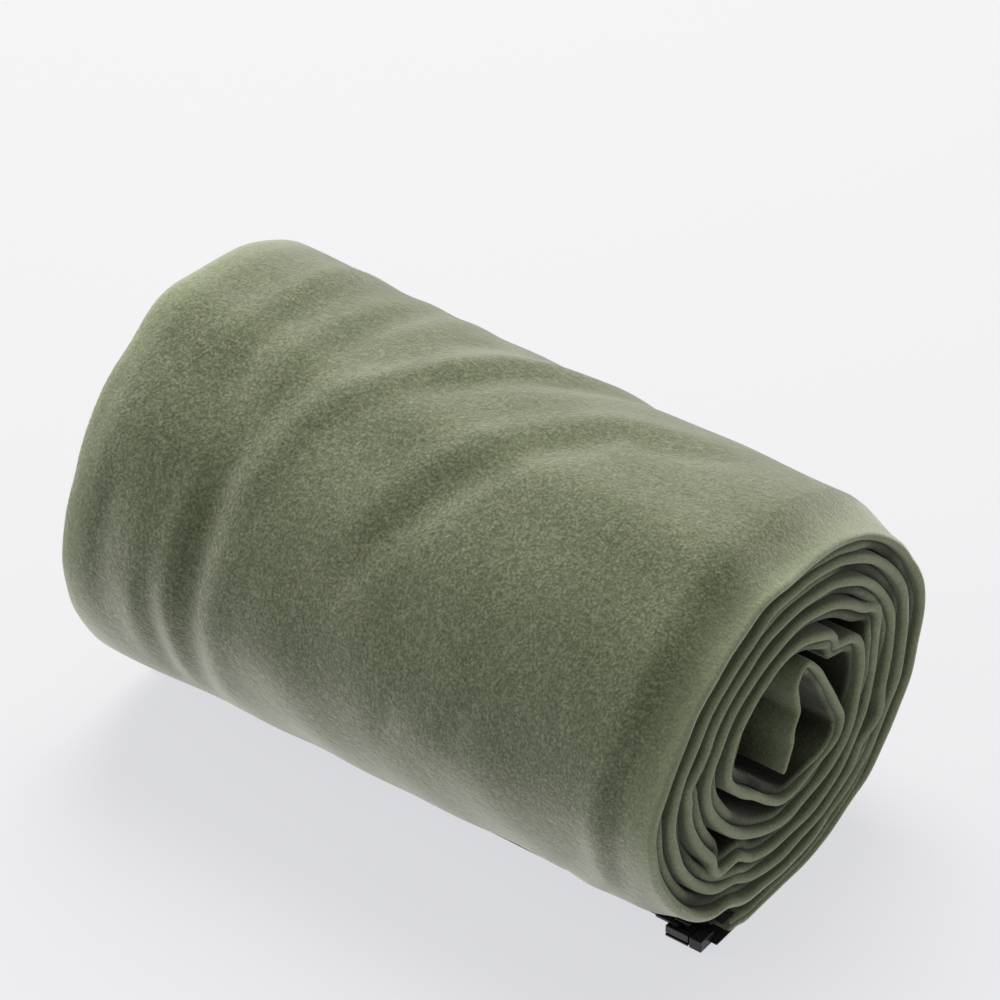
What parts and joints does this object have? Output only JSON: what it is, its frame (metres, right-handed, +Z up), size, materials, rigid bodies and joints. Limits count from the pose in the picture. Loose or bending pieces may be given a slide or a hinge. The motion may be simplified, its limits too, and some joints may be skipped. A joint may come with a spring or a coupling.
{
  "type": "rolled camp blanket",
  "caption": "Fleece camp blanket folded lengthwise and rolled up, with a separated black coil zip along its free hem.",
  "frame": {"origin": "on the floor, at the middle of the underside of the roll's bounding box", "axes": "+X along the roll's axis towards the end where the slider is parked, +Y towards the side that the outermost layer comes down, away from the free hem, +Z up"},
  "size_m": [0.28, 0.1797, 0.1665],
  "materials": {
    "fleece": "olive green anti-pill polar fleece, soft pebbled pile, matt",
    "woven_tape": "black woven polyester zip tape, matt",
    "nylon": "black nylon monofilament and moulded nylon, satin",
    "thread": "black spun polyester sewing thread",
    "black_enamel": "black enamelled zinc die casting, semi-gloss"
  },
  "bodies": {
    "blanket": {"fleece_panel": "fleece", "zip_tape_lower": "woven_tape", "zip_tape_upper": "woven_tape", "zip_coil_lower": "nylon", "zip_coil_upper": "nylon", "retaining_pin": "nylon", "insertion_pin": "nylon", "retainer_box": "nylon", "end_stop_lower": "black_enamel", "end_stop_upper": "black_enamel", "stitches_lower": "thread", "stitches_upper": "thread"},
    "slider": {"slider_body": "black_enamel"},
    "pull": {"pull_tab": "black_enamel"}
  },
  "joints": [
    {"name": "slider_travel", "type": "slide", "parent": "blanket", "child": "slider", "axis": [-1, 0, 0], "range_m": [0, 0.253]},
    {"name": "pull_swing", "type": "hinge", "parent": "slider", "child": "pull", "pos_m": [0.12355, -0.0453, 0.0063], "axis": [0, 1, 0], "range_deg": [0, 175]}
  ]
}
